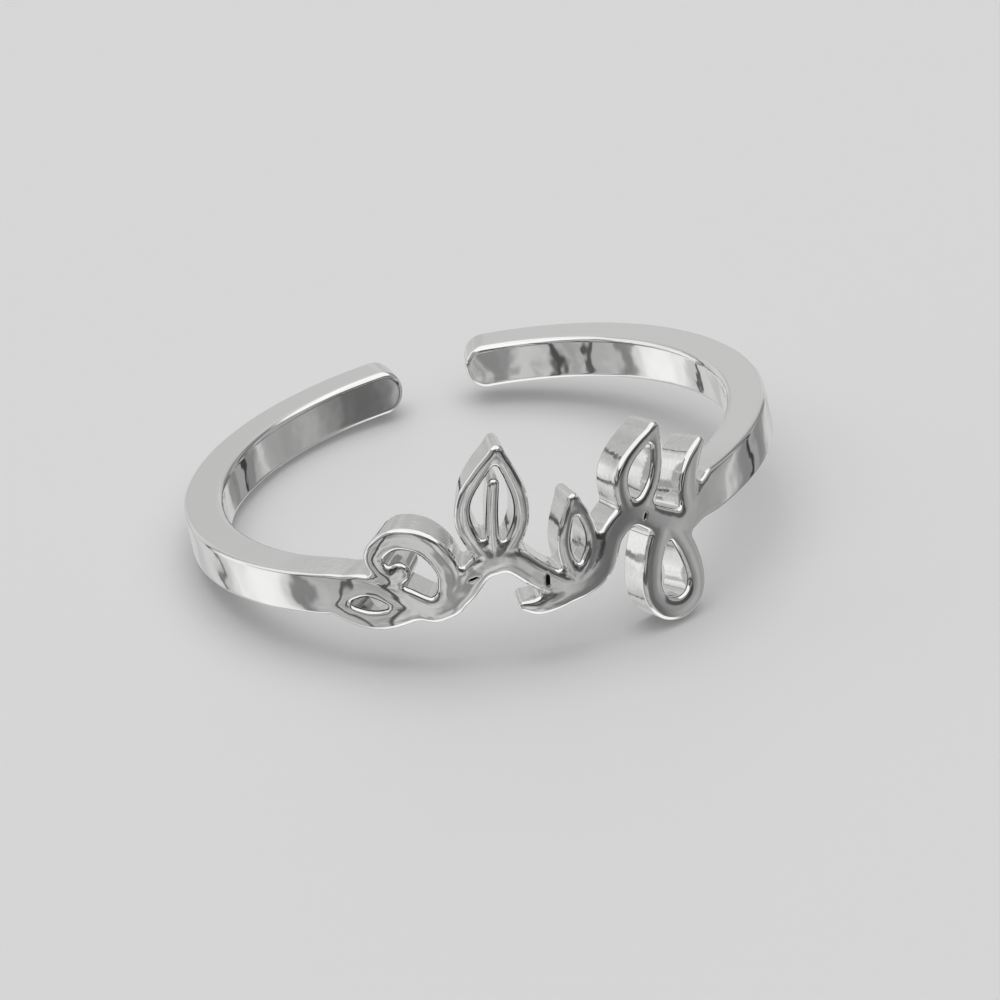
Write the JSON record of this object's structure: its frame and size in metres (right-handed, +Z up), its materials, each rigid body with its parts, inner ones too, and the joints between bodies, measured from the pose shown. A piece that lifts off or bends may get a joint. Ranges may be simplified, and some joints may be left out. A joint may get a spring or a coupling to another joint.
{
  "type": "open finger ring with an openwork front",
  "caption": "Open finger ring of flat polished silver wire with rounded free ends at the back and a leafy vine cut out as its front, lying on its side.",
  "frame": {"origin": "centre of the finger hole, on the hole's axis and at the middle of the band's height", "axes": "-Y towards the openwork front, +X to the front's right as seen from before it, +Z up as the ring rests. The hole's own axis leans back from +Z, because the hanging drop props up the front right."},
  "size_m": [0.02, 0.02, 0.008],
  "materials": {
    "polished_silver": "polished sterling silver, hand buffed"
  },
  "bodies": {
    "root": {"ring": "polished_silver"}
  },
  "joints": []
}
